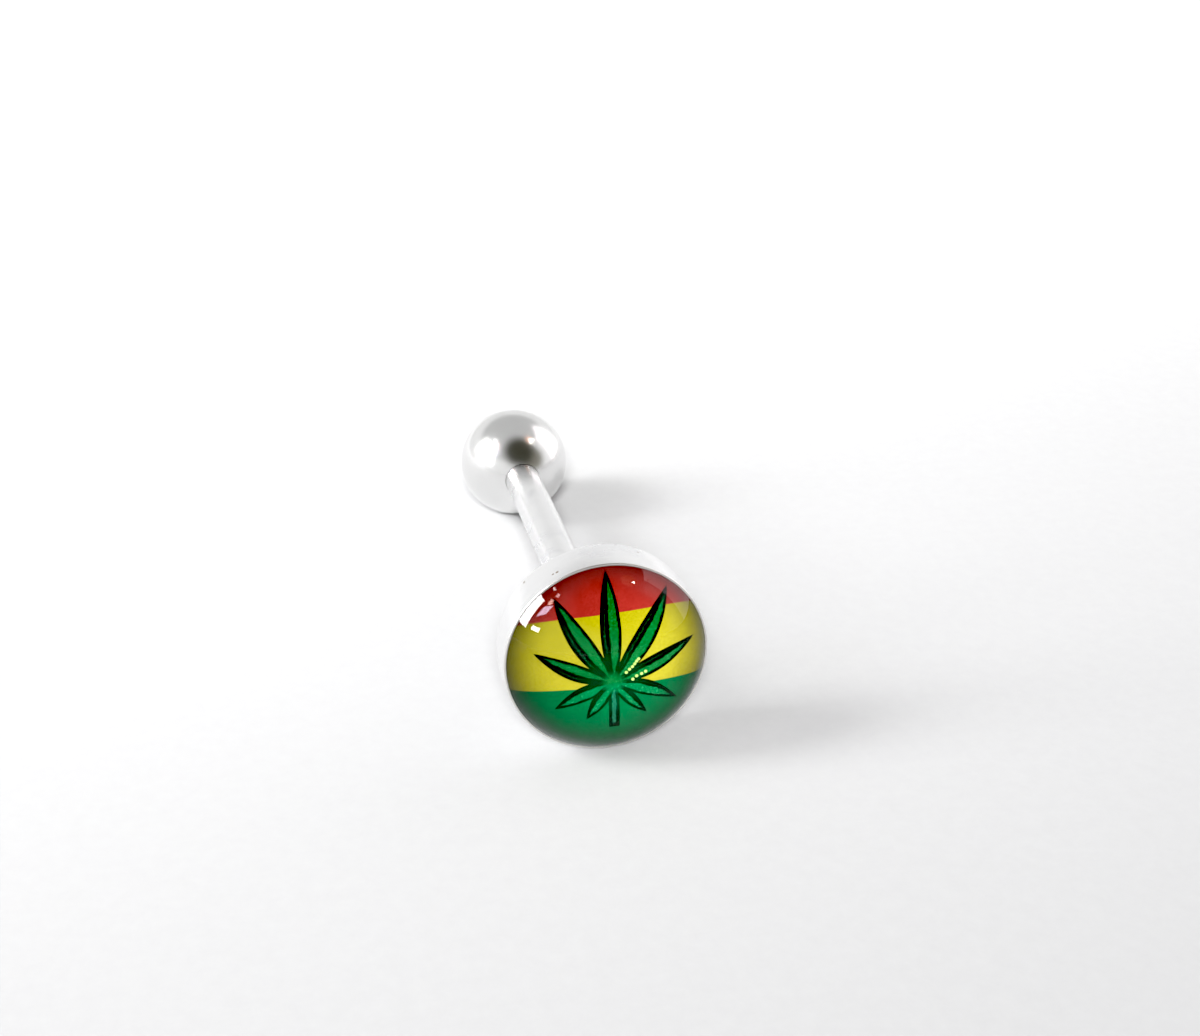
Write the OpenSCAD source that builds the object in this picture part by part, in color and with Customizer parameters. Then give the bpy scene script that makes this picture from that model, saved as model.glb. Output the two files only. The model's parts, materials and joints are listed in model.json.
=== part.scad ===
// Tongue barbell: a straight bar with a picture disc on one end and a ball that screws off the other.
// It lies on the plane z = 0 by itself, touching it with the cup's rear rim and with the ball.
// All lengths are in millimetres.

/* [Bar] */
// Diameter of the bar, 14 gauge
bar_d = 1.6; // [1.4:0.1:2]
// Length of the bar that shows between the cup and the ball
bar_l = 16; // [12:0.5:19]
// Diameter of the plain post inside the cup
post_d = 1.1; // [0.6:0.05:1.1]
// Length of the plain post inside the cup
post_l = 0.9; // [0.5:0.05:1]

/* [Thread] */
// Diameter over the crests of the thread
thread_d = 1.15; // [0.8:0.05:1.15]
// Length of the threaded end
thread_l = 2.8; // [2:0.1:3]
// Distance from one crest to the next
thread_pitch = 0.35; // [0.25:0.05:0.5]
// Depth of the thread from its crests to its roots
thread_depth = 0.12; // [0.05:0.01:0.15]
// Length of the bevel at the tip of the threaded end
thread_tip = 0.15; // [0.05:0.05:0.2]

/* [Cup] */
// Outer diameter of the cup
cup_d = 8; // [6:0.5:10]
// Length of the cup along the bar
cup_l = 1.85; // [1.7:0.05:2.5]
// Width of the rim round the picture
cup_rim = 0.1; // [0.1:0.05:0.5]
// Depth of the recess that the picture lies in
cup_recess = 0.5; // [0.3:0.05:0.6]
// Radius of the cup's rear edge
cup_rear_round = 0.12; // [0.05:0.01:0.3]
// Radius of the rim's outer edge
cup_rim_round = 0.05; // [0.02:0.01:0.09]

/* [Picture] */
// Thickness of the printed disc
print_t = 0.12; // [0.05:0.01:0.2]

/* [Dome] */
// Height of the clear dome above the rim
dome_h = 1.9; // [1:0.1:2.4]
// Share of the dome's radius that its flatter middle takes
dome_crown = 0.68; // [0.4:0.02:0.8]
// Slope where that middle ends, as a share of the slope that one round cap would have there
dome_flat = 0.86; // [0.6:0.02:0.98]

/* [Ball] */
// Diameter of the ball
ball_d = 5; // [4.5:0.5:6]
// Depth of the seat in the ball, from where the bar enters it to the bar's shoulder
seat_depth = 0.25; // [0.1:0.05:0.4]
// Room left in the ball's hole past the tip of the thread
hole_end = 0.3; // [0.1:0.1:0.5]

/* [Fits] */
// Radial clearance of the threaded end in the ball
run_gap = 0.05; // [0.02:0.01:0.1]
// Gap between pieces that lie against each other for good
seat_gap = 0.02; // [0.01:0.01:0.05]

/* [Hidden] */
$fn = 96;

bar_r = bar_d / 2;
cup_r = cup_d / 2;
ball_r = ball_d / 2;
recess_r = cup_r - cup_rim;

// Places along the axis, counted from the plane of the cup's rim towards the ball
print_top = cup_recess - seat_gap - print_t;
bar_start = cup_l + seat_gap;
ball_entry = cup_l + bar_l;
bar_end = ball_entry + seat_depth;
thread_end = bar_end + thread_l;
ball_centre = ball_entry + sqrt(ball_r * ball_r - bar_r * bar_r);

// The dome's outline is a wide arc over the middle, then a tighter arc from its end down to the rim
dome_r = recess_r - seat_gap;
dome_base = print_top - seat_gap;
cap_slope = 2 * atan(dome_h / dome_r);
crown_tilt = dome_flat * asin(dome_crown * sin(cap_slope));
crown_end = dome_crown * dome_r;
crown_r = crown_end / sin(crown_tilt);
crown_centre = crown_r - dome_h;
edge_w = dome_r - crown_end;
edge_h = dome_h - crown_r * (1 - cos(crown_tilt));
edge_r = norm([edge_w, edge_h]) / (2 * sin(atan2(edge_h, edge_w) - crown_tilt));
edge_in = crown_end - edge_r * sin(crown_tilt);
edge_centre = edge_r * cos(crown_tilt) - edge_h;

// The thread's crests and roots
thread_crest_r = thread_d / 2;
thread_root_r = thread_crest_r - thread_depth;
thread_turns = floor((thread_l - thread_tip) / thread_pitch);
thread_start = thread_end - thread_tip - thread_turns * thread_pitch;

// As it lies, the axis drops from the big disc to the smaller ball, and both touch z = 0
rear_edge_r = cup_r - cup_rear_round;
rear_edge_at = cup_l - cup_rear_round;
rest_span = ball_centre - rear_edge_at;
axis_drop = acos((ball_r - cup_rear_round) / norm([rear_edge_r, rest_span])) - atan2(rest_span, rear_edge_r);
rim_height = rear_edge_at * sin(axis_drop) + rear_edge_r * cos(axis_drop) + cup_rear_round;

// Reach along y from the middle of the rim, which sets the origin under the middle of the whole
reach_front = min(crown_centre * cos(axis_drop) - crown_r, -cup_r * sin(axis_drop));
reach_rear = ball_centre * cos(axis_drop) + ball_r;
rim_y = -(reach_front + reach_rear) / 2;

// Puts a piece that is modelled along +z, from the rim's plane, where it lies
module lying() {
    translate([0, rim_y, rim_height]) rotate([-90 - axis_drop, 0, 0]) children();
}

module rod(radius, from, to) {
    translate([0, 0, from]) cylinder(r = radius, h = to - from);
}

// A rectangle from the axis outwards, whose two outer corners are rounded
module turned_outline(radius, length, front_round, rear_round) {
    square([radius - front_round, length / 2]);
    translate([0, length / 2]) square([radius - rear_round, length / 2]);
    translate([0, front_round]) square([radius, length - front_round - rear_round]);
    translate([radius - front_round, front_round]) circle(r = front_round);
    translate([radius - rear_round, length - rear_round]) circle(r = rear_round);
}

// Rings at the thread's pitch, with flanks that rise and fall evenly
module thread_rings() {
    rotate_extrude() polygon(concat(
        [[0, bar_end - thread_pitch], [thread_root_r, bar_end - thread_pitch], [thread_root_r, thread_start]],
        [for (turn = [0 : thread_turns - 1], half = [1, 2])
            [half == 1 ? thread_crest_r : thread_root_r, thread_start + (turn + half / 2) * thread_pitch]],
        [[thread_root_r - thread_tip / 2, thread_end], [0, thread_end]]));
}

module barbell_shaft() {
    color([0.86, 0.87, 0.88]) lying() {
        rod(bar_r, bar_start, bar_end);
        rod(post_d / 2, bar_start - post_l, bar_start + post_l);
        thread_rings();
    }
}

module disc_cup() {
    color([0.88, 0.88, 0.9]) lying() difference() {
        rotate_extrude() turned_outline(cup_r, cup_l, cup_rim_round, cup_rear_round);
        rod(recess_r, -cup_recess, cup_recess);
        rod(post_d / 2 + seat_gap, bar_start - post_l - seat_gap, cup_l + post_l);
    }
}

module picture_disc() {
    color([0.86, 0.8, 0.14]) lying() rod(recess_r - seat_gap, print_top, print_top + print_t);
}

// The part of a circle that lies between two distances from the axis and above the print
module dome_arc(radius, out, centre, from, to) {
    intersection() {
        translate([out, centre]) circle(r = radius);
        translate([from, -2 * dome_h]) square([to - from, 2 * dome_h + dome_base]);
    }
}

module epoxy_dome() {
    color([0.95, 0.97, 1, 0.35]) lying() rotate_extrude() {
        dome_arc(crown_r, 0, crown_centre, 0, crown_end);
        dome_arc(edge_r, edge_in, edge_centre, crown_end, dome_r);
    }
}

module ball_end() {
    color([0.84, 0.85, 0.86]) lying() difference() {
        translate([0, 0, ball_centre]) sphere(r = ball_r);
        rod(bar_r + run_gap, bar_end - ball_r, bar_end + seat_gap);
        rod(thread_crest_r + run_gap, bar_end, thread_end + hole_end);
    }
}

barbell_shaft();
disc_cup();
picture_disc();
epoxy_dome();
ball_end();
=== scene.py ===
# Tongue barbell with a domed picture disc, lying on a pale surface
import json
import bpy
import bmesh
from math import asin, atan2, cos, degrees, hypot, pi, radians, sin
from mathutils import Matrix, Vector


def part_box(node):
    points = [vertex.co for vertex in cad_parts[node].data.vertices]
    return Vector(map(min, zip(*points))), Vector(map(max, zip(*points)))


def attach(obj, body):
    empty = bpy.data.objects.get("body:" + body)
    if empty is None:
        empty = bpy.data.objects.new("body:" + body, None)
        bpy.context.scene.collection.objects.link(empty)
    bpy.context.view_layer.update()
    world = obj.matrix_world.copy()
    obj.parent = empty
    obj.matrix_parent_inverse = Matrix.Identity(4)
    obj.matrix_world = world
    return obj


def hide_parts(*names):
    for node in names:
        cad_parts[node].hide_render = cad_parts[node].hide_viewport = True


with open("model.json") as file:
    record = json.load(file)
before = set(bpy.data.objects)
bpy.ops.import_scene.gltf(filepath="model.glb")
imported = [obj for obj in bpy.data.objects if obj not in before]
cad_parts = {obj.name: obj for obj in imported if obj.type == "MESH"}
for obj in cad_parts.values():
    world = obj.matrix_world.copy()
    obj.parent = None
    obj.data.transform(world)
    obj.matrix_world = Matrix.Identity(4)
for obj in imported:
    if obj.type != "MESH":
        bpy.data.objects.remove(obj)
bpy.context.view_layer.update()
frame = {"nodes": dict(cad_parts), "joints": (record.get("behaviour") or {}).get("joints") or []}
print("frame loaded:", ", ".join(sorted(frame["nodes"])))

# Pieces are shaped in millimetres in the disc's own space: x to the right and y up as the picture is
# seen, z out of the picture towards the viewer, with the rim's front edge at z = 0
millimetre = 0.001
fromRim = {"pictureMiddle": 0.42}   # how far the middle of the printed disc lies behind the rim
towardsBall = Vector(frame["joints"][0]["axis"]).normalized()
pictureLow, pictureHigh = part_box("picture_disc")
rimMiddle = (pictureLow + pictureHigh) / 2 - towardsBall * fromRim["pictureMiddle"] * millimetre
outward = -towardsBall
upward = outward.cross(Vector((1, 0, 0)))
discSpace = Matrix.Translation(rimMiddle) @ Matrix((
    (1, upward.x, outward.x, 0), (0, upward.y, outward.y, 0), (0, upward.z, outward.z, 0), (0, 0, 0, 1),
)) @ Matrix.Scale(millimetre, 4)
axisDrop = asin(-towardsBall.z)     # the bar runs down towards the ball by this angle
mergeWithin = 0.0005                # points nearer than this are one, in millimetres
noiseSpread = (0.25, 0.75)          # most of a noise texture's values lie between these


# Modelling helpers

def lineTo(bm, start, radius, height):
    made = bmesh.ops.extrude_vert_indiv(bm, verts=[start])["verts"][0]
    made.co = (radius, 0, height)
    return made


def arcTo(bm, start, centre, angle, steps):
    turned = bmesh.ops.spin(bm, geom=[start], cent=(centre[0], 0, centre[1]), axis=(0, 1, 0),
                            dvec=(0, 0, 0), angle=angle, steps=steps, use_duplicate=False)
    return [v for v in turned["geom_last"] if isinstance(v, bmesh.types.BMVert)][0]


def lathe(bm, steps):
    bmesh.ops.spin(bm, geom=bm.verts[:] + bm.edges[:], cent=(0, 0, 0), axis=(0, 0, 1),
                   dvec=(0, 0, 0), angle=2 * pi, steps=steps, use_merge=True, use_duplicate=False)
    bmesh.ops.remove_doubles(bm, verts=bm.verts, dist=mergeWithin)
    bmesh.ops.recalc_face_normals(bm, faces=bm.faces)


def finishPiece(bm, name, materials, body, sharpAngle=28, standsFor=None):
    bm.transform(discSpace)
    mesh = bpy.data.meshes.new(name)
    for face in bm.faces:
        face.smooth = True
    bm.to_mesh(mesh)
    bm.free()
    mesh.set_sharp_from_angle(angle=radians(sharpAngle))
    for material in materials:
        mesh.materials.append(material)
    piece = bpy.data.objects.new(name, mesh)
    bpy.context.scene.collection.objects.link(piece)
    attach(piece, body)
    if standsFor:
        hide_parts(standsFor)
    print("made", name, len(mesh.polygons), "faces")
    return piece


# Shader helpers

def newMaterial(name):
    material = bpy.data.materials.new(name)
    material.use_nodes = True
    nodes = material.node_tree.nodes
    nodes.clear()
    output = nodes.new("ShaderNodeOutputMaterial")
    return material, nodes, material.node_tree.links, output


def addNode(nodes, kind, **settings):
    node = nodes.new(kind)
    for key, value in settings.items():
        setattr(node, key, value)
    return node


def setInputs(node, **values):
    for key, value in values.items():
        node.inputs[key.replace("_", " ")].default_value = value
    return node


def startGroup(name, inputs, outputs):
    group = bpy.data.node_groups.new(name, "ShaderNodeTree")
    for label, kind, value in inputs:
        socket = group.interface.new_socket(label, in_out="INPUT", socket_type=kind)
        if value is not None:
            socket.default_value = value
    for label, kind in outputs:
        group.interface.new_socket(label, in_out="OUTPUT", socket_type=kind)
    nodes = group.nodes
    return group, nodes, group.links, nodes.new("NodeGroupInput"), nodes.new("NodeGroupOutput")


def useGroup(nodes, group, **values):
    node = nodes.new("ShaderNodeGroup")
    node.node_tree = group
    return setInputs(node, **values)


def mathNode(nodes, links, operation, first, second=None, clamp=False):
    node = addNode(nodes, "ShaderNodeMath", operation=operation, use_clamp=clamp)
    for socket, value in zip(node.inputs, (first, second)):
        if value is None:
            continue
        if isinstance(value, bpy.types.NodeSocket):
            links.new(value, socket)
        else:
            socket.default_value = value
    return node.outputs[0]


def mapRange(nodes, links, value, low, high, toLow=0.0, toHigh=1.0, smooth=True):
    node = addNode(nodes, "ShaderNodeMapRange")
    node.interpolation_type = "SMOOTHSTEP" if smooth else "LINEAR"
    links.new(value, node.inputs["Value"])
    setInputs(node, From_Min=low, From_Max=high, To_Min=toLow, To_Max=toHigh)
    return node.outputs["Result"]


def mixColour(nodes, links, factor, first, second, blend="MIX"):
    node = addNode(nodes, "ShaderNodeMix", data_type="RGBA", blend_type=blend)
    for socket, value in ((node.inputs[0], factor), (node.inputs[6], first), (node.inputs[7], second)):
        if isinstance(value, bpy.types.NodeSocket):
            links.new(value, socket)
        else:
            socket.default_value = value
    return node.outputs[2]


def pictureSpace(nodes, links):
    # turns Object coordinates into millimetres of the disc's own space
    coords = nodes.new("ShaderNodeTexCoord")
    place = addNode(nodes, "ShaderNodeMapping", vector_type="TEXTURE")
    place.inputs["Location"].default_value = rimMiddle
    place.inputs["Rotation"].default_value = discSpace.to_euler()
    place.inputs["Scale"].default_value = (millimetre, millimetre, millimetre)
    links.new(coords.outputs["Object"], place.inputs["Vector"])
    return place.outputs["Vector"]


def rgb(red, green, blue):
    return (red, green, blue, 1.0)


# Shared effect: handling marks on polished steel

wearLook = {
    "smudge": {"Detail": 4.0, "Roughness": 0.6, "Distortion": 0.4}, "smudgeRange": (0.42, 0.72),
    "line": {"Detail": 3.0, "Roughness": 0.7}, "lineStretch": (0.04, 1.0, 0.04), "lineReach": 0.00001,
    "speck": {"Detail": 6.0, "Roughness": 0.75}, "speckRange": (0.7, 0.76),
    "markCore": 0.5, "markStrength": 0.8,
}


def makeSteelWear():
    group, nodes, links, source, result = startGroup("steelWear", [
        ("Vector", "NodeSocketVector", None),
        ("Smudge Scale", "NodeSocketFloat", 300.0),
        ("Line Scale", "NodeSocketFloat", 9000.0),
        ("Speck Scale", "NodeSocketFloat", 900.0),
    ], [("Smudge", "NodeSocketFloat"), ("Lines", "NodeSocketFloat"), ("Specks", "NodeSocketFloat")])
    smudge = setInputs(nodes.new("ShaderNodeTexNoise"), **wearLook["smudge"])
    links.new(source.outputs["Vector"], smudge.inputs["Vector"])
    links.new(source.outputs["Smudge Scale"], smudge.inputs["Scale"])
    smudged = mapRange(nodes, links, smudge.outputs["Fac"], *wearLook["smudgeRange"])
    links.new(smudged, result.inputs["Smudge"])
    stretch = setInputs(nodes.new("ShaderNodeMapping"), Scale=wearLook["lineStretch"])
    links.new(source.outputs["Vector"], stretch.inputs["Vector"])
    lines = setInputs(nodes.new("ShaderNodeTexNoise"), **wearLook["line"])
    links.new(stretch.outputs["Vector"], lines.inputs["Vector"])
    links.new(source.outputs["Line Scale"], lines.inputs["Scale"])
    links.new(lines.outputs["Fac"], result.inputs["Lines"])
    specks = setInputs(nodes.new("ShaderNodeTexNoise"), **wearLook["speck"])
    links.new(source.outputs["Vector"], specks.inputs["Vector"])
    links.new(source.outputs["Speck Scale"], specks.inputs["Scale"])
    speckled = mapRange(nodes, links, specks.outputs["Fac"], *wearLook["speckRange"])
    links.new(speckled, result.inputs["Specks"])
    return group


steelWear = makeSteelWear()


def markMask(nodes, links, marks):
    # round marks, each full in its middle and gone at its radius
    place = pictureSpace(nodes, links)
    mask = None
    for *at, radius in marks:
        reach = addNode(nodes, "ShaderNodeVectorMath", operation="DISTANCE")
        links.new(place, reach.inputs[0])
        reach.inputs[1].default_value = at
        core = radius * wearLook["markCore"]
        part = mapRange(nodes, links, reach.outputs["Value"], core, radius, wearLook["markStrength"], 0.0)
        mask = part if mask is None else mathNode(nodes, links, "MAXIMUM", mask, part)
    return mask


def polishedSteel(name, look):
    material, nodes, links, output = newMaterial(name)
    shader = setInputs(nodes.new("ShaderNodeBsdfPrincipled"), Metallic=1.0)
    coords = nodes.new("ShaderNodeTexCoord")
    turned = setInputs(nodes.new("ShaderNodeMapping"), Rotation=(axisDrop, 0.0, 0.0))
    links.new(coords.outputs["Object"], turned.inputs["Vector"])
    wear = useGroup(nodes, steelWear, Smudge_Scale=look["smudgeScale"], Line_Scale=look["lineScale"],
                    Speck_Scale=look["speckScale"])
    links.new(turned.outputs["Vector"], wear.inputs["Vector"])
    smudge = wear.outputs["Smudge"]
    dulled = mixColour(nodes, links, smudge, rgb(*look["colour"]), rgb(*look["smudgeColour"]))
    dirty = mixColour(nodes, links, wear.outputs["Specks"], dulled, rgb(*look["speckColour"]))
    if "marks" in look:
        marked = markMask(nodes, links, look["marks"])
        dirty = mixColour(nodes, links, marked, dirty, rgb(*look["markColour"]))
    links.new(dirty, shader.inputs["Base Color"])
    rough = mapRange(nodes, links, smudge, 0.0, 1.0, look["roughness"], look["smudgeRoughness"])
    links.new(rough, shader.inputs["Roughness"])
    bump = setInputs(nodes.new("ShaderNodeBump"), Strength=look["lineDepth"], Distance=wearLook["lineReach"])
    links.new(wear.outputs["Lines"], bump.inputs["Height"])
    links.new(bump.outputs["Normal"], shader.inputs["Normal"])
    links.new(shader.outputs["BSDF"], output.inputs["Surface"])
    return material


# The cup: a turned steel head with a thin rim round a shallow recess

cupShape = {
    "radius": 4.0, "length": 1.85,
    "recessRadius": 3.9, "recessDepth": 0.5,
    "rimRound": 0.05, "rimSteps": 6, "rearRound": 0.12, "rearSteps": 8,
    "postHoleRadius": 0.57, "postHoleEnd": 0.95,
    "turns": 192,
}
cupLook = {
    "colour": (0.875, 0.875, 0.875), "smudgeColour": (0.82, 0.82, 0.83), "speckColour": (0.35, 0.3, 0.27),
    "roughness": 0.24, "smudgeRoughness": 0.3,
    "smudgeScale": 420.0, "lineScale": 16000.0, "speckScale": 1500.0, "lineDepth": 0.25,
    # brown marks on the side: x, y and z in the disc's space, and the radius
    "marks": ((-1.73, 3.6, -0.57, 0.08), (-1.89, 3.53, -0.59, 0.06), (-2.83, 2.82, -1.6, 0.07),
              (1.6, 3.67, -1.37, 0.06)),
    "markColour": (0.3, 0.22, 0.15),
}
rimLook = {
    # the rim's front is duller: darker, greyer and rougher than the side
    "colour": (0.74, 0.73, 0.71), "smudgeColour": (0.62, 0.61, 0.59), "speckColour": (0.3, 0.27, 0.24),
    "roughness": 0.32, "smudgeRoughness": 0.45,
    "smudgeScale": 420.0, "lineScale": 16000.0, "speckScale": 1500.0, "lineDepth": 0.25,
}


def makeCup():
    bm = bmesh.new()
    shape = cupShape
    wall = shape["radius"]
    rear = -shape["length"]
    middle = bm.verts.new((0, 0, -shape["recessDepth"]))
    corner = lineTo(bm, middle, shape["recessRadius"], -shape["recessDepth"])
    lip = lineTo(bm, corner, shape["recessRadius"], 0)
    edge = lineTo(bm, lip, wall - shape["rimRound"], 0)
    rimCentre = (wall - shape["rimRound"], -shape["rimRound"])
    side = arcTo(bm, edge, rimCentre, pi / 2, shape["rimSteps"])
    back = lineTo(bm, side, wall, rear + shape["rearRound"])
    rearCentre = (wall - shape["rearRound"], rear + shape["rearRound"])
    under = arcTo(bm, back, rearCentre, pi / 2, shape["rearSteps"])
    hole = lineTo(bm, under, shape["postHoleRadius"], rear)
    bottom = lineTo(bm, hole, shape["postHoleRadius"], -shape["postHoleEnd"])
    lineTo(bm, bottom, 0, -shape["postHoleEnd"])
    lathe(bm, shape["turns"])
    steels = [polishedSteel("cupSteel", cupLook), polishedSteel("rimSteel", rimLook)]
    for face in bm.faces:
        onRim = face.calc_center_median().z > -shape["rimRound"]
        face.material_index = 1 if onRim else 0
    return finishPiece(bm, "cupBody", steels, "root", standsFor="disc_cup")


makeCup()


# The bar: plain post, straight bar, core of the threaded end, and the thread that winds round it

barShape = {
    "radius": 0.8, "start": 1.87, "end": 18.1,
    "postRadius": 0.55, "postStart": 0.97,
    "coreRadius": 0.455, "crestRadius": 0.575, "threadEnd": 20.9, "tipBevel": 0.15,
    "pitch": 0.35, "windings": 6, "windingSteps": 32, "ridgeSunk": 0.02, "shoulderBevel": 0.05,
    "turns": 96,
}
barLook = {
    "colour": (0.83, 0.83, 0.83), "smudgeColour": (0.77, 0.77, 0.78), "speckColour": (0.4, 0.36, 0.33),
    "roughness": 0.22, "smudgeRoughness": 0.3,
    "smudgeScale": 600.0, "lineScale": 14000.0, "speckScale": 1300.0, "lineDepth": 0.3,
}


def makeBar():
    bm = bmesh.new()
    shape = barShape
    bevel, tip = shape["shoulderBevel"], shape["tipBevel"]
    point = bm.verts.new((0, 0, -shape["postStart"]))
    for radius, depth in (
        (shape["postRadius"], shape["postStart"]), (shape["postRadius"], shape["start"]),
        (shape["radius"] - bevel, shape["start"]), (shape["radius"], shape["start"] + bevel),
        (shape["radius"], shape["end"] - bevel), (shape["radius"] - bevel, shape["end"]),
        (shape["coreRadius"], shape["end"]), (shape["coreRadius"], shape["threadEnd"] - tip),
        (shape["coreRadius"] - tip / 2, shape["threadEnd"]), (0, shape["threadEnd"]),
    ):
        point = lineTo(bm, point, radius, -depth)
    lathe(bm, shape["turns"])
    return finishPiece(bm, "barRod", [polishedSteel("barSteel", barLook)], "root",
                       standsFor="barbell_shaft")


def makeThread(material):
    # a three-sided ridge, wound round the core by a spin that also climbs
    bm = bmesh.new()
    shape = barShape
    first = -(shape["threadEnd"] - shape["tipBevel"])
    half = shape["pitch"] / 2
    inner = shape["coreRadius"] - shape["ridgeSunk"]
    corners = [bm.verts.new((inner, 0, first)), bm.verts.new((shape["crestRadius"], 0, first + half)),
               bm.verts.new((inner, 0, first + 2 * half))]
    ridge = bm.faces.new(corners)
    climb = shape["pitch"] / shape["windingSteps"]
    bmesh.ops.spin(bm, geom=[ridge] + ridge.edges[:] + ridge.verts[:], cent=(0, 0, 0), axis=(0, 0, 1),
                   dvec=(0, 0, climb), angle=2 * pi * shape["windings"],
                   steps=shape["windings"] * shape["windingSteps"], use_duplicate=False)
    bmesh.ops.recalc_face_normals(bm, faces=bm.faces)
    return finishPiece(bm, "barThread", [material], "root")


barRod = makeBar()
makeThread(barRod.data.materials[0])


# The ball: screws onto the threaded end, with a seat that takes the bar's shoulder

ballShape = {
    "radius": 2.5, "centre": 20.2185,
    "seatRadius": 0.815, "seatEnd": 18.12, "holeRadius": 0.625, "holeEnd": 21.2,
    "turns": 144, "arcSteps": 72,
}
ballLook = {
    "colour": (0.785, 0.785, 0.78), "smudgeColour": (0.74, 0.74, 0.735), "speckColour": (0.5, 0.48, 0.46),
    "roughness": 0.19, "smudgeRoughness": 0.25,
    "smudgeScale": 350.0, "lineScale": 9000.0, "speckScale": 900.0, "lineDepth": 0.08,
}


def makeBall():
    bm = bmesh.new()
    shape = ballShape
    rear = bm.verts.new((0, 0, -shape["centre"] - shape["radius"]))
    mouthAngle = asin(shape["seatRadius"] / shape["radius"])
    mouth = arcTo(bm, rear, (0, -shape["centre"]), mouthAngle - pi, shape["arcSteps"])
    seat = lineTo(bm, mouth, shape["seatRadius"], -shape["seatEnd"])
    hole = lineTo(bm, seat, shape["holeRadius"], -shape["seatEnd"])
    end = lineTo(bm, hole, shape["holeRadius"], -shape["holeEnd"])
    lineTo(bm, end, 0, -shape["holeEnd"])
    lathe(bm, shape["turns"])
    return finishPiece(bm, "screwBall", [polishedSteel("ballSteel", ballLook)], "ball",
                       standsFor="ball_end")


makeBall()


# The printed disc: three stripes on a film, with the leaf printed over them

printShape = {
    "radius": 3.88, "front": -0.36, "thickness": 0.12, "sides": 160,
    "redFrom": 1.703, "redTurn": 1.7, "greenBelow": -0.935, "greenTurn": 0.04,
}
stripes = ("inkRed", "inkYellow", "inkGreen")    # from the top down
inks = {
    "inkRed": {"colour": (0.25, 0.033, 0.029), "grain": 0.12, "clouds": 0.05},
    "inkYellow": {"colour": (0.298, 0.27, 0.021), "grain": 0.12, "clouds": 0.05},
    "inkGreen": {"colour": (0.0015, 0.107, 0.033), "grain": 0.25, "clouds": 0.1},
    "glintInk": {"colour": (0.33, 0.5, 0.13), "grain": 0.12, "clouds": 0.05},
}
inkLook = {
    # painted shade: the print darkens from shadeFrom to shadeTo millimetres off shadeMiddle, down to
    # shadeLeft of its colour
    "shadeMiddle": (-0.15, 0.4, 0.0), "shadeFrom": 1.8, "shadeTo": 4.05, "shadeLeft": 0.05,
    "paintedLightGain": (0.09, -0.06, 0.0),     # painted light: share gained for each millimetre to the right and up
    "grainScale": 11.0, "cloudScale": 2.2, "noise": {"Detail": 2.0, "Roughness": 0.6},
    "roughness": 0.5,
}


def makePrintTone():
    # mottle of a fine print, the painted shade that gathers where the film nears the recess's wall, and
    # painted light that grows to the right and fades upwards
    group, nodes, links, source, result = startGroup("printMottleAndPaintedShading", [
        ("Vector", "NodeSocketVector", None), ("Colour", "NodeSocketColor", (1, 1, 1, 1)),
        ("Grain", "NodeSocketFloat", 0.12), ("Clouds", "NodeSocketFloat", 0.05),
    ], [("Colour", "NodeSocketColor")])
    level = None
    for scale, amount in ((inkLook["grainScale"], "Grain"), (inkLook["cloudScale"], "Clouds")):
        noise = setInputs(nodes.new("ShaderNodeTexNoise"), Scale=scale, **inkLook["noise"])
        links.new(source.outputs["Vector"], noise.inputs["Vector"])
        centred = mapRange(nodes, links, noise.outputs["Fac"], *noiseSpread, -1.0, 1.0, smooth=False)
        part = mathNode(nodes, links, "MULTIPLY", centred, source.outputs[amount])
        level = mathNode(nodes, links, "ADD", part, 1.0 if level is None else level)
    flat = addNode(nodes, "ShaderNodeVectorMath", operation="MULTIPLY")
    flat.inputs[1].default_value = (1.0, 1.0, 0.0)
    links.new(source.outputs["Vector"], flat.inputs[0])
    reach = addNode(nodes, "ShaderNodeVectorMath", operation="DISTANCE")
    links.new(flat.outputs["Vector"], reach.inputs[0])
    reach.inputs[1].default_value = inkLook["shadeMiddle"]
    shade = mapRange(nodes, links, reach.outputs["Value"], inkLook["shadeFrom"], inkLook["shadeTo"],
                     1.0, inkLook["shadeLeft"])
    gained = addNode(nodes, "ShaderNodeVectorMath", operation="DOT_PRODUCT")
    links.new(flat.outputs["Vector"], gained.inputs[0])
    gained.inputs[1].default_value = inkLook["paintedLightGain"]
    gain = mathNode(nodes, links, "ADD", gained.outputs["Value"], 1.0)
    shade = mathNode(nodes, links, "MULTIPLY", shade, gain)
    level = mathNode(nodes, links, "MULTIPLY", level, shade)
    grey = nodes.new("ShaderNodeCombineColor")
    for socket in grey.inputs[:3]:
        links.new(level, socket)
    mixed = mixColour(nodes, links, 1.0, source.outputs["Colour"], grey.outputs[0], "MULTIPLY")
    links.new(mixed, result.inputs["Colour"])
    return group


printMottleAndPaintedShading = makePrintTone()


def inkMaterial(name):
    look = inks[name]
    material, nodes, links, output = newMaterial(name)
    shader = setInputs(nodes.new("ShaderNodeBsdfPrincipled"), Roughness=inkLook["roughness"],
                       Specular_IOR_Level=0.0)
    # mottle, with painted shade towards the rim and painted light to the right
    tone = useGroup(nodes, printMottleAndPaintedShading, Colour=rgb(*look["colour"]), Grain=look["grain"],
                    Clouds=look["clouds"])
    links.new(pictureSpace(nodes, links), tone.inputs["Vector"])
    links.new(tone.outputs["Colour"], shader.inputs["Base Color"])
    links.new(shader.outputs["BSDF"], output.inputs["Surface"])
    return material


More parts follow.
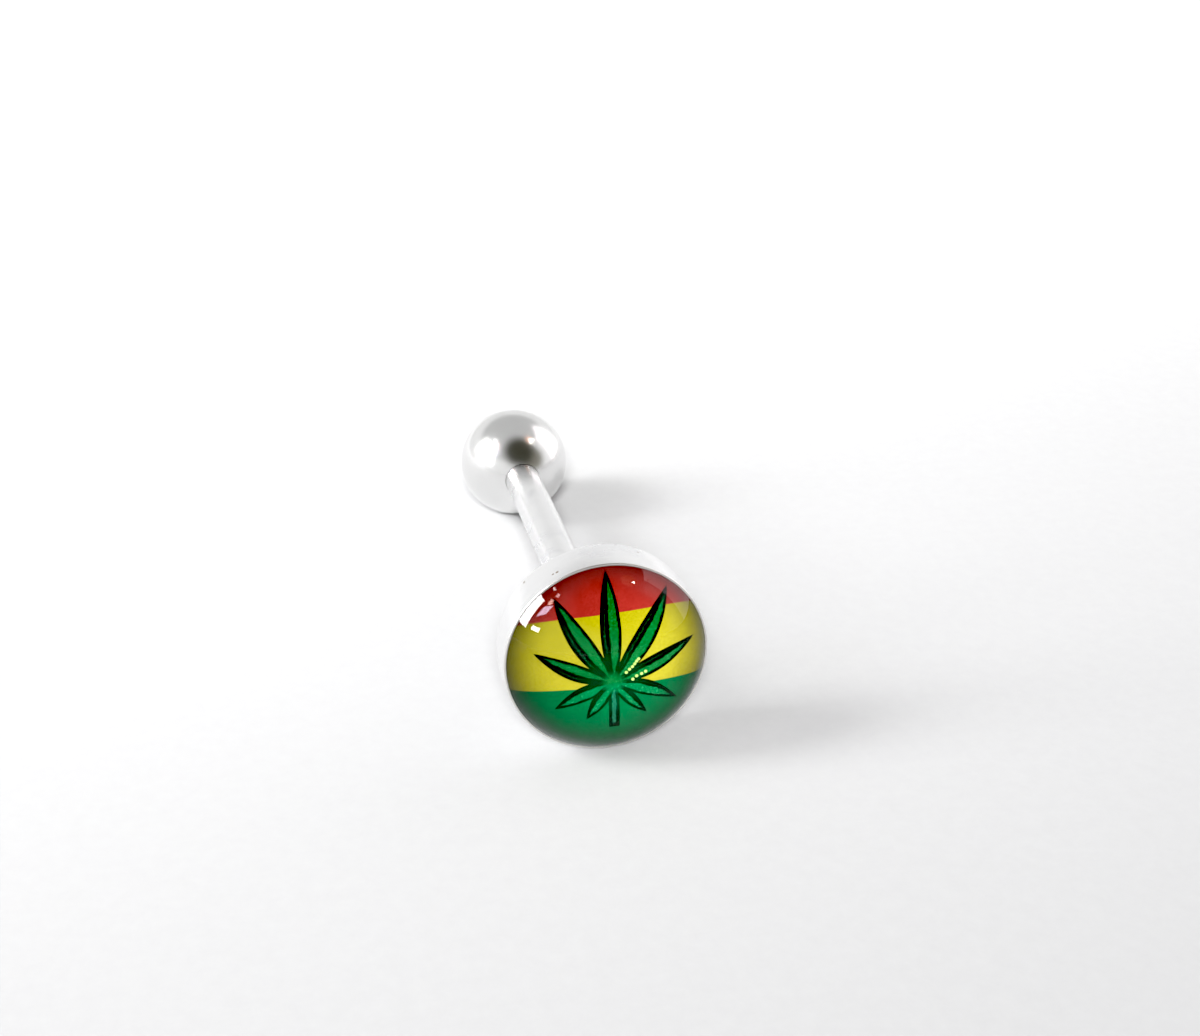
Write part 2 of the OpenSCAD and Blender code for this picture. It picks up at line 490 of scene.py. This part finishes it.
def makePrint():
    bm = bmesh.new()
    shape = printShape
    bmesh.ops.create_circle(bm, cap_ends=True, radius=shape["radius"], segments=shape["sides"])
    borders = [(shape["redFrom"], radians(shape["redTurn"])),
               (shape["greenBelow"], radians(shape["greenTurn"]))]
    for height, turn in borders:
        bmesh.ops.bisect_plane(bm, geom=bm.verts[:] + bm.edges[:] + bm.faces[:],
                               plane_co=(0, height, 0), plane_no=(-sin(turn), cos(turn), 0))
    for face in bm.faces:
        middle = face.calc_center_bounds()
        under = [middle.y < height + middle.x * sin(turn) for height, turn in borders]
        face.material_index = sum(under)    # how many borders the piece lies under
        if face.normal.z < 0:
            face.normal_flip()
    bmesh.ops.translate(bm, verts=bm.verts, vec=(0, 0, shape["front"]))
    bmesh.ops.solidify(bm, geom=bm.faces[:], thickness=shape["thickness"])
    return finishPiece(bm, "printedFilm", [inkMaterial(name) for name in stripes], "root",
                       standsFor="picture_disc")


makePrint()


# The leaf: nine leaflets round a hub. Each is a strip with two UV maps of its own: "leafAlong" has the
# millimetres from the hub and the share of the length, and "leafAcross" the millimetres to either edge

leafShape = {
    "hub": (0.162, -0.811), "lift": 0.004, "step": 0.0008, "thickness": 0.002, "rows": 32, "columns": 6,
    "baseWidth": 0.05, "bulge": 0.88, "fullness": 0.85, "mergeWithin": 0.0001,
}
leaflets = {
    # angle of the tip, length, half width, how far the middle bows to the left, and the shaded side
    "lowLeft": {"angle": 202.6, "length": 2.18, "halfWidth": 0.27, "bow": -0.086, "shaded": -1},
    "lowRight": {"angle": -22.3, "length": 2.37, "halfWidth": 0.27, "bow": 0.128, "shaded": 1},
    "bottomLeft": {"angle": 234.2, "length": 1.58, "halfWidth": 0.25, "bow": -0.019, "shaded": -1},
    "bottomRight": {"angle": -48.5, "length": 1.67, "halfWidth": 0.21, "bow": -0.015, "shaded": 1},
    "midLeft": {"angle": 154.5, "length": 3.0, "halfWidth": 0.291, "bow": 0.108, "shaded": 1},
    "midRight": {"angle": 24.2, "length": 3.17, "halfWidth": 0.294, "bow": -0.097, "shaded": 1},
    "highLeft": {"angle": 120.8, "length": 3.9, "halfWidth": 0.355, "bow": 0.126, "shaded": 1},
    "highRight": {"angle": 58.0, "length": 3.95, "halfWidth": 0.354, "bow": -0.14, "shaded": 1},
    "top": {"angle": 91.6, "length": 4.26, "halfWidth": 0.348, "bow": -0.016, "shaded": 1},
}
stemShape = {"to": (0.17, -2.49), "halfWidth": 0.18}
glintShape = {
    "places": ((1.02, -0.06), (0.95, -0.13), (0.88, -0.22), (0.8, -0.31), (0.7, -0.39), (0.59, -0.49),
               (0.8, -0.76), (0.93, -0.66), (1.1, -0.6), (1.24, -0.54)),
    "radius": 0.055, "sides": 10,
}
leafLooks = {
    "leafInk": {
        "light": (0.007, 0.103, 0.023), "streak": (0.005, 0.03, 0.012),
        "line": (0.001, 0.005, 0.002), "nearLine": (0.0, 0.026, 0.008),
        "ribAt": 0.34, "rib": 0.05, "edge": 0.1, "fleck": 0.4,
    },
    "leafInkLow": {
        "light": (0.002, 0.12, 0.037), "streak": (0.0, 0.06, 0.022),
        "line": (0.0, 0.007, 0.002), "nearLine": (0.0, 0.022, 0.006),
        "ribAt": 0.28, "rib": 0.035, "edge": 0.09, "fleck": 0.6,
    },
    "stemInk": {
        "light": (0.01, 0.1, 0.055), "streak": (0.01, 0.1, 0.055),
        "line": (0.0, 0.007, 0.002), "nearLine": (0.0, 0.03, 0.01),
        "ribAt": 0.5, "rib": 0.0, "edge": 0.11, "fleck": 0.5,
    },
}
# where the lines start and turn black, in millimetres from the hub, and how their edges run
leafLines = {
    "lineStart": (0.15, 0.45), "blackStart": (0.7, 1.3), "tip": (0.86, 0.93),
    "edgeSoft": 0.035, "ribSoft": 0.03, "halfSoft": (-0.01, 0.02), "lightEdgeShare": 0.9,
    "wobble": 0.03, "wobbleSpread": (0.3, 0.7), "noise": {"Scale": 4.0, "Detail": 3.0, "Roughness": 0.7},
}
leafFlecks = {
    "colour": (0.02, 0.26, 0.095), "range": (0.55, 0.7),
    "noise": {"Scale": 14.0, "Detail": 1.0, "Roughness": 0.5},
}
leafMottle = {"Grain": 0.25, "Clouds": 0.15}
leafInks = ("leafInk", "leafInkLow", "stemInk", "glintInk")


def leafMaterial(name):
    look = leafLooks[name]
    material, nodes, links, output = newMaterial(name)
    shader = setInputs(nodes.new("ShaderNodeBsdfPrincipled"), Roughness=inkLook["roughness"],
                       Specular_IOR_Level=0.0)
    place = pictureSpace(nodes, links)
    maps = []
    for label in ("leafAlong", "leafAcross"):
        split = nodes.new("ShaderNodeSeparateXYZ")
        links.new(addNode(nodes, "ShaderNodeUVMap", uv_map=label).outputs["UV"], split.inputs[0])
        maps += [split.outputs[0], split.outputs[1]]
    fromHub, share, toShaded, toLight = maps
    noise = setInputs(nodes.new("ShaderNodeTexNoise"), **leafLines["noise"])
    links.new(place, noise.inputs["Vector"])
    most = leafLines["wobble"]
    wobble = mapRange(nodes, links, noise.outputs["Fac"], *leafLines["wobbleSpread"], -most, most,
                      smooth=False)
    width = mathNode(nodes, links, "ADD", toShaded, toLight)
    soft = leafLines["edgeSoft"]
    edge = look["edge"]
    shadedEdge = mapRange(nodes, links, mathNode(nodes, links, "ADD", toShaded, wobble),
                          edge, edge + soft, 1.0, 0.0)
    edge *= leafLines["lightEdgeShare"]
    lightEdge = mapRange(nodes, links, mathNode(nodes, links, "SUBTRACT", toLight, wobble),
                         edge, edge + soft, 1.0, 0.0)
    ribPlace = mathNode(nodes, links, "MULTIPLY", width, look["ribAt"])
    past = mathNode(nodes, links, "SUBTRACT", toShaded, ribPlace)
    past = mathNode(nodes, links, "ADD", past, wobble)
    fromRib = mathNode(nodes, links, "ABSOLUTE", past)
    rib = mapRange(nodes, links, fromRib, look["rib"], look["rib"] + leafLines["ribSoft"], 1.0, 0.0)
    shadedHalf = mapRange(nodes, links, past, *leafLines["halfSoft"], 1.0, 0.0)
    tip = mapRange(nodes, links, share, *leafLines["tip"])
    lines = mathNode(nodes, links, "MAXIMUM", shadedEdge, lightEdge)
    if look["rib"] > 0:
        lines = mathNode(nodes, links, "MAXIMUM", lines, rib)
    lines = mathNode(nodes, links, "MAXIMUM", lines, tip)
    begun = mapRange(nodes, links, fromHub, *leafLines["lineStart"])
    lines = mathNode(nodes, links, "MULTIPLY", lines, begun)
    blackened = mapRange(nodes, links, fromHub, *leafLines["blackStart"])
    half = mathNode(nodes, links, "MULTIPLY", shadedHalf, blackened)
    green = mixColour(nodes, links, half, rgb(*look["light"]), rgb(*look["streak"]))
    fleck = setInputs(nodes.new("ShaderNodeTexNoise"), **leafFlecks["noise"])
    links.new(place, fleck.inputs["Vector"])
    bright = mapRange(nodes, links, fleck.outputs["Fac"], *leafFlecks["range"], 0.0, look["fleck"])
    flecked = mixColour(nodes, links, bright, green, rgb(*leafFlecks["colour"]))
    lineColour = mixColour(nodes, links, blackened, rgb(*look["nearLine"]), rgb(*look["line"]))
    inked = mixColour(nodes, links, lines, flecked, lineColour)
    # the same mottle, with painted shade towards the rim and painted light to the right
    tone = useGroup(nodes, printMottleAndPaintedShading, **leafMottle)
    links.new(place, tone.inputs["Vector"])
    links.new(inked, tone.inputs["Colour"])
    links.new(tone.outputs["Colour"], shader.inputs["Base Color"])
    links.new(shader.outputs["BSDF"], output.inputs["Surface"])
    return material


def leafProfile(share):
    belly = sin(pi * share ** leafShape["bulge"]) ** leafShape["fullness"]
    return leafShape["baseWidth"] * (1 - share) + belly


def printStrip(bm, layers, strip, lift, profile, ink):
    # a flat grid of one by one, bent and tapered into one leaflet
    made = bmesh.ops.create_grid(bm, x_segments=leafShape["rows"], y_segments=leafShape["columns"], size=0.5)
    share = {v: (v.co.x + 0.5, v.co.y * 2) for v in made["verts"]}    # part of the length, and side
    faces = {f for v in made["verts"] for f in v.link_faces}
    ahead = Vector((cos(radians(strip["angle"])), sin(radians(strip["angle"])), 0))
    sideways = Vector((-ahead.y, ahead.x, 0))
    base = Vector((*leafShape["hub"], printShape["front"] + lift))
    along, across = layers
    edges = {}
    for v, (part, side) in share.items():
        half = strip["halfWidth"] * profile(part)
        aside = strip["bow"] * sin(pi * part) + half * side
        v.co = base + ahead * strip["length"] * part + sideways * aside
        shadedSide = side * strip["shaded"]
        edges[v] = (half * (1 - shadedSide), half * (1 + shadedSide))
    for face in faces:
        face.material_index = leafInks.index(ink)
        for loop in face.loops:
            part = share[loop.vert][0]
            loop[along].uv = (part * strip["length"], part)
            loop[across].uv = edges[loop.vert]
    bmesh.ops.remove_doubles(bm, verts=made["verts"], dist=leafShape["mergeWithin"])


def makeLeaf():
    bm = bmesh.new()
    layers = (bm.loops.layers.uv.new("leafAlong"), bm.loops.layers.uv.new("leafAcross"))
    stemTo = Vector(stemShape["to"]) - Vector(leafShape["hub"])
    stem = {"angle": degrees(atan2(stemTo.y, stemTo.x)), "length": stemTo.length,
            "halfWidth": stemShape["halfWidth"], "bow": 0.0, "shaded": 1}
    lift = leafShape["lift"]
    printStrip(bm, layers, stem, lift, lambda share: 1.0, "stemInk")
    for name, leaflet in leaflets.items():
        lift += leafShape["step"]
        low = name.startswith(("low", "bottom"))
        printStrip(bm, layers, leaflet, lift, leafProfile, "leafInkLow" if low else "leafInk")
    glintFront = printShape["front"] + lift + leafShape["step"]
    for x, y in glintShape["places"]:
        glint = bmesh.ops.create_circle(bm, cap_ends=True, radius=glintShape["radius"],
                                        segments=glintShape["sides"])
        bmesh.ops.translate(bm, verts=glint["verts"], vec=(x, y, glintFront))
        for face in {f for v in glint["verts"] for f in v.link_faces}:
            face.material_index = leafInks.index("glintInk")
    for face in bm.faces:
        face.normal_update()
        if face.normal.z < 0:
            face.normal_flip()
    bmesh.ops.solidify(bm, geom=bm.faces[:], thickness=leafShape["thickness"])
    materials = [leafMaterial(name) if name in leafLooks else inkMaterial(name) for name in leafInks]
    return finishPiece(bm, "leafPrint", materials, "root")


makeLeaf()


# The dome: clear resin poured over the print, up to the rim

domeShape = {
    "radius": 3.925, "height": 1.9, "crownEnd": 2.638, "crownTilt": 27.94,
    "sink": 0.004, "turns": 192, "crownSteps": 28, "edgeSteps": 36,
}
domeLook = {"ior": 1.5, "tint": (0.99, 0.985, 0.96)}


def resinMaterial():
    material, nodes, links, output = newMaterial("clearResin")
    shader = setInputs(nodes.new("ShaderNodeBsdfPrincipled"), Base_Color=rgb(*domeLook["tint"]),
                       Roughness=0.0, Metallic=0.0, IOR=domeLook["ior"], Transmission_Weight=1.0)
    # light goes straight between the lamps and the print, so that the print isn't left dark
    clear = nodes.new("ShaderNodeBsdfTransparent")
    ray = nodes.new("ShaderNodeLightPath")
    lamps = mathNode(nodes, links, "MAXIMUM", ray.outputs["Is Shadow Ray"], ray.outputs["Is Diffuse Ray"])
    fromPrint = nodes.new("ShaderNodeNewGeometry").outputs["Backfacing"]
    mix = nodes.new("ShaderNodeMixShader")
    links.new(mathNode(nodes, links, "MULTIPLY", lamps, fromPrint), mix.inputs[0])
    links.new(shader.outputs["BSDF"], mix.inputs[1])
    links.new(clear.outputs["BSDF"], mix.inputs[2])
    links.new(mix.outputs[0], output.inputs["Surface"])
    return material


def makeDome():
    # a wide arc over the middle, then a tighter arc from its end down to the rim
    bm = bmesh.new()
    shape = domeShape
    tilt = radians(shape["crownTilt"])
    crown = shape["crownEnd"] / sin(tilt)
    fall = shape["height"] - crown * (1 - cos(tilt))
    width = shape["radius"] - shape["crownEnd"]
    bend = atan2(fall, width) - tilt
    edge = hypot(width, fall) / (2 * sin(bend))
    top = bm.verts.new((0, 0, shape["height"]))
    side = arcTo(bm, top, (0, shape["height"] - crown), tilt, shape["crownSteps"])
    edgeCentre = (shape["crownEnd"] - edge * sin(tilt), fall - edge * cos(tilt))
    foot = arcTo(bm, side, edgeCentre, 2 * bend, shape["edgeSteps"])
    floor = printShape["front"] - shape["sink"]
    wall = lineTo(bm, foot, shape["radius"], floor)
    lineTo(bm, wall, 0, floor)
    lathe(bm, shape["turns"])
    return finishPiece(bm, "resinDome", [resinMaterial()], "root", standsFor="epoxy_dome")


makeDome()


# Stage: a pale floor with a painted falloff of light, a room that the steel and the resin mirror, and soft
# lights for dull surfaces

cameraSet = {"azimuth": -12.594, "elevation": 28.903, "distance": 0.075824, "focalPixels": 1873.6,
             "target": (0.001073, 0.006, 0.006895), "imageWidth": 1200, "sensor": 36.0,
             "clip": (0.001, 20.0)}
floorSet = {
    "size": 3.0, "darkest": 0.28, "lightest": 0.475, "tint": (0.995, 1.0, 1.005),
    "level": 0.351, "slope": (-0.66, 2.08),     # painted light falloff: gained for each metre to the right and away from the camera
    "grain": 0.006, "noise": {"Scale": 1500.0, "Detail": 3.0, "Roughness": 0.7}, "roughness": 0.8,
}


def towards(azimuth, elevation):
    turn, lift = radians(azimuth), radians(elevation)
    return Vector((sin(turn) * cos(lift), -cos(turn) * cos(lift), sin(lift)))


def makeCamera():
    data = bpy.data.cameras.new("camera")
    camera = bpy.data.objects.new("camera", data)
    bpy.context.scene.collection.objects.link(camera)
    back = towards(cameraSet["azimuth"], cameraSet["elevation"])
    target = Vector(cameraSet["target"]) + Vector((0, rimMiddle.y, 0))
    camera.location = target + back * cameraSet["distance"]
    camera.rotation_mode = "QUATERNION"
    camera.rotation_quaternion = (-back).to_track_quat("-Z", "Y")
    data.sensor_width = cameraSet["sensor"]
    data.lens = cameraSet["focalPixels"] * data.sensor_width / cameraSet["imageWidth"]
    data.clip_start, data.clip_end = cameraSet["clip"]
    bpy.context.scene.camera = camera


def makeFloor():
    bm = bmesh.new()
    bmesh.ops.create_grid(bm, x_segments=1, y_segments=1, size=floorSet["size"] / 2)
    mesh = bpy.data.meshes.new("floor")
    bm.to_mesh(mesh)
    bm.free()
    material, nodes, links, output = newMaterial("paleSurface")
    shader = setInputs(nodes.new("ShaderNodeBsdfPrincipled"), Roughness=floorSet["roughness"],
                       Specular_IOR_Level=0.0)
    place = nodes.new("ShaderNodeTexCoord").outputs["Object"]
    slope = addNode(nodes, "ShaderNodeVectorMath", operation="DOT_PRODUCT")
    links.new(place, slope.inputs[0])
    slope.inputs[1].default_value = (*floorSet["slope"], 0.0)
    noise = setInputs(nodes.new("ShaderNodeTexNoise"), **floorSet["noise"])
    links.new(place, noise.inputs["Vector"])
    most = floorSet["grain"]
    grain = mapRange(nodes, links, noise.outputs["Fac"], *noiseSpread, -most, most, smooth=False)
    # painted light: the floor's colour is lighter away from the camera and darker to the right, standing in
    # for the fall of light across it
    level = mathNode(nodes, links, "ADD", slope.outputs["Value"], floorSet["level"])
    level = mathNode(nodes, links, "ADD", level, grain)
    low, high = floorSet["darkest"], floorSet["lightest"]
    share = mapRange(nodes, links, level, low, high, smooth=False)
    tones = [rgb(*(part * end for part in floorSet["tint"])) for end in (low, high)]
    tone = mixColour(nodes, links, share, *tones)
    links.new(tone, shader.inputs["Base Color"])
    links.new(shader.outputs["BSDF"], output.inputs["Surface"])
    mesh.materials.append(material)
    floor = bpy.data.objects.new("floor", mesh)
    bpy.context.scene.collection.objects.link(floor)


def makeRoomPatch():
    # a rectangle in the directions round the object, given by azimuth and elevation in degrees
    group, nodes, links, source, result = startGroup("roomPatch", [
        (label, "NodeSocketFloat", value) for label, value in (
            ("Azimuth", 0.0), ("Elevation", 0.0), ("At Azimuth", 0.0), ("At Elevation", 0.0),
            ("Half Width", 10.0), ("Half Height", 10.0), ("Lean", 0.0), ("Slope", 0.0), ("Softness", 1.0))
    ], [("Mask", "NodeSocketFloat")])
    given = source.outputs
    aside = mathNode(nodes, links, "SUBTRACT", given["Azimuth"], given["At Azimuth"])
    above = mathNode(nodes, links, "SUBTRACT", given["Elevation"], given["At Elevation"])
    masks = []
    for way, other, shear, half in (
        (aside, above, "Lean", "Half Width"), (above, aside, "Slope", "Half Height"),
    ):
        way = mathNode(nodes, links, "SUBTRACT", way, mathNode(nodes, links, "MULTIPLY", other, given[shear]))
        inside = mathNode(nodes, links, "SUBTRACT", given[half], mathNode(nodes, links, "ABSOLUTE", way))
        masks.append(mathNode(nodes, links, "DIVIDE", inside, given["Softness"], clamp=True))
    links.new(mathNode(nodes, links, "MULTIPLY", *masks), result.inputs["Mask"])
    return group


def makeRoomDisc():
    # a round patch about one direction, with its radius and soft edge in degrees
    group, nodes, links, source, result = startGroup("roomDisc", [
        ("Direction", "NodeSocketVector", None), ("Centre", "NodeSocketVector", (0, 0, 1)),
        ("Radius", "NodeSocketFloat", 10.0), ("Softness", "NodeSocketFloat", 1.0),
    ], [("Mask", "NodeSocketFloat")])
    given = source.outputs
    along = addNode(nodes, "ShaderNodeVectorMath", operation="DOT_PRODUCT")
    links.new(given["Direction"], along.inputs[0])
    links.new(given["Centre"], along.inputs[1])
    away = mathNode(nodes, links, "DEGREES", mathNode(nodes, links, "ARCCOSINE", along.outputs["Value"]))
    inside = mathNode(nodes, links, "SUBTRACT", given["Radius"], away)
    inside = mathNode(nodes, links, "DIVIDE", inside, given["Softness"])
    links.new(mapRange(nodes, links, inside, -0.5, 0.5), result.inputs["Mask"])
    return group


roomPatch = makeRoomPatch()
roomDisc = makeRoomDisc()
room = {
    # brightness of wall and ceiling, and the elevations between which one turns into the other
    "wall": 1.0, "ceiling": 0.65, "wallTo": 22.0, "ceilingFrom": 34.0,
    "behindFloor": (1, 1, 1),
    "patches": [
        # azimuth, elevation, half width, half height, lean, slope, softness, colour
        ("rightWall", (95, 12, 40, 36, 0, 0, 8), (1.1, 1.1, 1.1)),
        ("paleWindow", (104, 23, 21.5, 24, 0, 0, 1), (2.1, 1.95, 2.0)),
        ("farPane", (-107, 26.7, 10, 14.6, 0, 0, 0.6), (2.6, 2.6, 2.5)),
        ("bigPane", (-91.5, 26.7, 7.9, 14.6, 0, 0, 0.5), (26.5, 26.5, 26.5)),
        ("mullion", (-99.4, 20, 0.5, 7, 0, 0, 0.2), (0.8, 0.8, 0.7)),
        ("lavenderPane", (-71.2, 34.6, 5.8, 5, 0.1, 0.5, 0.4), (11, 11, 14)),
        ("peachPane", (-72.2, 43.4, 3.6, 3.2, -0.2, 0.1, 0.4), (12, 9.5, 8)),
        ("smallPane", (-69.5, 16.6, 6.5, 2.3, 0.4, 0, 0.4), (26, 26, 26)),
        ("upperBit", (-90, 53.5, 5, 1.1, 0, 0, 0.4), (12, 12, 12)),
        ("pinkBit", (-71, 52, 3.5, 2.2, 0, 0, 0.8), (9, 7, 7)),
    ],
    "discs": [
        # azimuth, elevation, radius, softness, colour
        ("dimSide", (38, 24, 24, 22), (0.3, 0.29, 0.25)),
        ("darkDisc", (8, 47, 32, 24), (0.107, 0.106, 0.09)),
        ("warmLamp", (67.5, 58, 7, 4), (1.15, 0.75, 0.58)),
        ("lamp", (68.2, 53.3, 1.5, 0.5), (36, 36, 34)),
    ],
}
softLights = {
    "frontLight": {"azimuth": -12.0, "elevation": 36.0, "distance": 1.0, "width": 0.27, "power": 21.0},
    "sideLight": {"azimuth": -97.0, "elevation": 39.0, "distance": 1.0, "width": 0.35, "power": 5.2},
}


def makeWorld():
    world = bpy.data.worlds.new("room")
    bpy.context.scene.world = world
    world.use_nodes = True
    nodes, links = world.node_tree.nodes, world.node_tree.links
    nodes.clear()
    output = nodes.new("ShaderNodeOutputWorld")
    looking = nodes.new("ShaderNodeTexCoord").outputs["Generated"]
    direction = nodes.new("ShaderNodeSeparateXYZ")
    links.new(looking, direction.inputs[0])
    x, y, z = direction.outputs
    azimuth = mathNode(nodes, links, "ARCTAN2", x, mathNode(nodes, links, "MULTIPLY", y, -1.0))
    azimuth = mathNode(nodes, links, "DEGREES", azimuth)
    elevation = mathNode(nodes, links, "DEGREES", mathNode(nodes, links, "ARCSINE", z))
    level = mapRange(nodes, links, elevation, room["wallTo"], room["ceilingFrom"],
                     room["wall"], room["ceiling"])
    grey = nodes.new("ShaderNodeCombineColor")
    for socket in grey.inputs[:3]:
        links.new(level, socket)
    colour = grey.outputs[0]
    labels = ("At_Azimuth", "At_Elevation", "Half_Width", "Half_Height", "Lean", "Slope", "Softness")
    for name, place, light in room["patches"]:
        patch = useGroup(nodes, roomPatch, **dict(zip(labels, place)))
        patch.label = name
        links.new(azimuth, patch.inputs["Azimuth"])
        links.new(elevation, patch.inputs["Elevation"])
        colour = mixColour(nodes, links, patch.outputs["Mask"], colour, rgb(*light))
    for name, (turn, lift, radius, softness), light in room["discs"]:
        disc = useGroup(nodes, roomDisc, Centre=towards(turn, lift), Radius=radius, Softness=softness)
        disc.label = name
        links.new(looking, disc.inputs["Direction"])
        colour = mixColour(nodes, links, disc.outputs["Mask"], colour, rgb(*light))
    ray = nodes.new("ShaderNodeLightPath")
    colour = mixColour(nodes, links, ray.outputs["Is Camera Ray"], colour, rgb(*room["behindFloor"]))
    around = nodes.new("ShaderNodeBackground")
    links.new(colour, around.inputs["Color"])
    links.new(around.outputs[0], output.inputs["Surface"])


def makeSoftLight(name, lamp):
    # lights dull surfaces only, so it isn't mirrored in the steel or the resin
    data = bpy.data.lights.new(name, "AREA")
    data.shape, data.size, data.energy = "DISK", lamp["width"], lamp["power"]
    light = bpy.data.objects.new(name, data)
    bpy.context.scene.collection.objects.link(light)
    back = towards(lamp["azimuth"], lamp["elevation"])
    light.location = back * lamp["distance"]
    light.rotation_mode = "QUATERNION"
    light.rotation_quaternion = (-back).to_track_quat("-Z", "Y")
    light.visible_camera = light.visible_glossy = light.visible_transmission = False


makeCamera()
makeFloor()
makeWorld()
for lampName, lamp in softLights.items():
    makeSoftLight(lampName, lamp)
viewBlack = (0.05, 0.05, 0.05)    # darker than this is shown black
view = bpy.context.scene.view_settings
view.view_transform = "Standard"
view.use_curve_mapping = True
view.curve_mapping.black_level = viewBlack
view.curve_mapping.update()
print("stage set")
